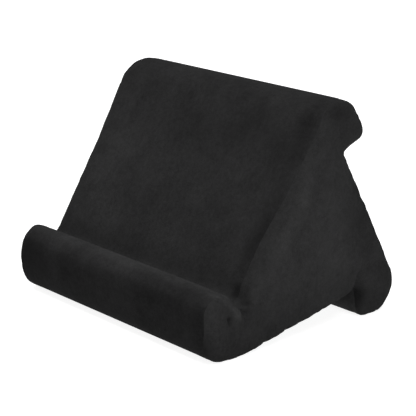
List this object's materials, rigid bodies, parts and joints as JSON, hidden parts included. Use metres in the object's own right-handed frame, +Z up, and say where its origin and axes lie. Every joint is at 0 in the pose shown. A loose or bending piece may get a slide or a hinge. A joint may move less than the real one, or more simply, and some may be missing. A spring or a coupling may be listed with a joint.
{
  "type": "tablet cushion stand",
  "caption": "Soft foam stand in a charcoal velour cover: a long triangular cushion with rounded lips that hold a tablet on any of its sloping faces",
  "frame": {"origin": "on the floor, under the middle of the cushion", "axes": "+X along the width to the end panel on the right as seen from the front, +Y from the front roll to the rear roll, +Z up"},
  "size_m": [0.28, 0.2372, 0.2102],
  "materials": {
    "cover_fabric": "short-pile charcoal velour",
    "end_fabric": "short-pile charcoal velour",
    "foam": "open-cell foam"
  },
  "bodies": {
    "root": {"cover_slope_panel": "cover_fabric", "cover_front_panel": "cover_fabric", "cover_rear_panel": "cover_fabric", "cover_end_panel_right": "end_fabric", "cover_end_panel_left": "end_fabric", "foam_core": "foam"}
  },
  "joints": []
}
